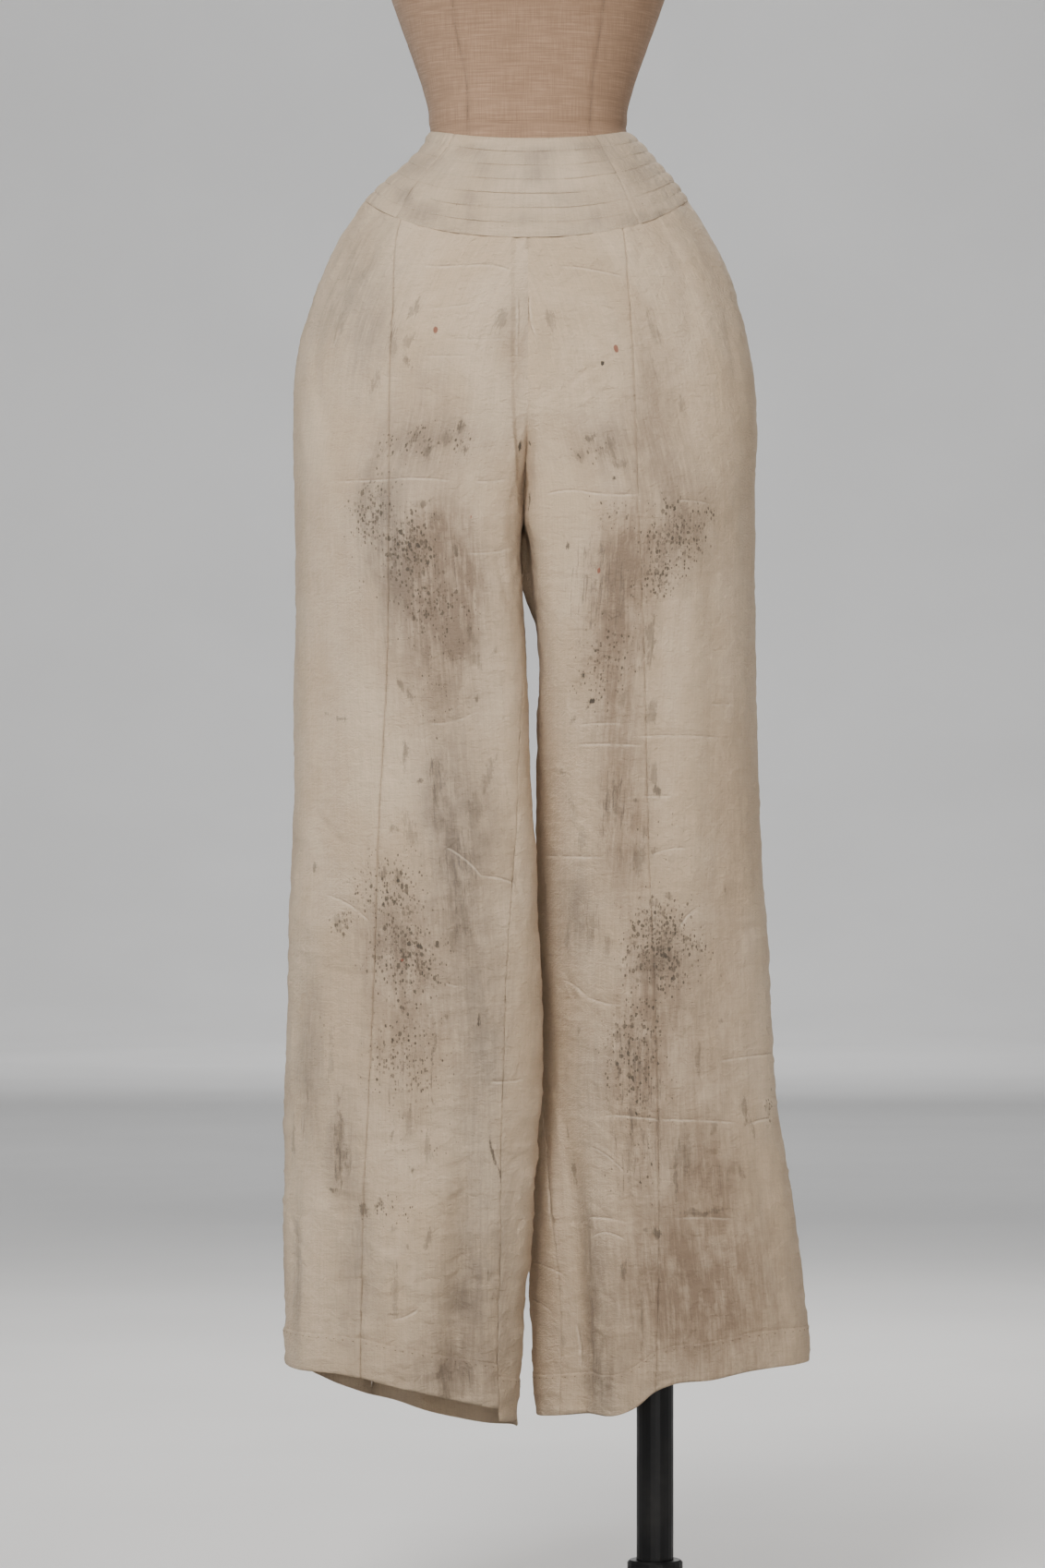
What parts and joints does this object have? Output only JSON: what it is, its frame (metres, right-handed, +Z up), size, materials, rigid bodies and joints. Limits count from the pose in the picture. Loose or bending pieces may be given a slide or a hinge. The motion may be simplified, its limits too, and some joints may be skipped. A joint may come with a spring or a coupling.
{
  "type": "elastic-waist trousers on a limbless dress form",
  "caption": "High-waisted wide-leg trousers with an elastic casing waistband, worn by a limbless linen-covered dress form on an offset pole and a flat base plate.",
  "frame": {"origin": "on the floor under the middle of the base plate", "axes": "+Z up; the front of the trousers faces -Y; +X is the wearer's left"},
  "size_m": [0.5, 0.42, 1.7533],
  "materials": {
    "trouser_cloth": "matte",
    "waistband_cloth": "matte",
    "form_linen": "matte",
    "neck_cap_wood": "satin",
    "stand_metal": "satin"
  },
  "bodies": {
    "root": {"right_leg_front": "trouser_cloth", "right_leg_side": "trouser_cloth", "right_leg_back": "trouser_cloth", "left_leg_front": "trouser_cloth", "left_leg_side": "trouser_cloth", "left_leg_back": "trouser_cloth", "waistband_front": "waistband_cloth", "waistband_back": "waistband_cloth", "form_torso": "form_linen", "form_neck_cap": "neck_cap_wood", "stand_base": "stand_metal", "stand_collar": "stand_metal", "stand_pole": "stand_metal", "stand_socket_plate": "stand_metal", "stand_socket_sleeve": "stand_metal"}
  },
  "joints": []
}
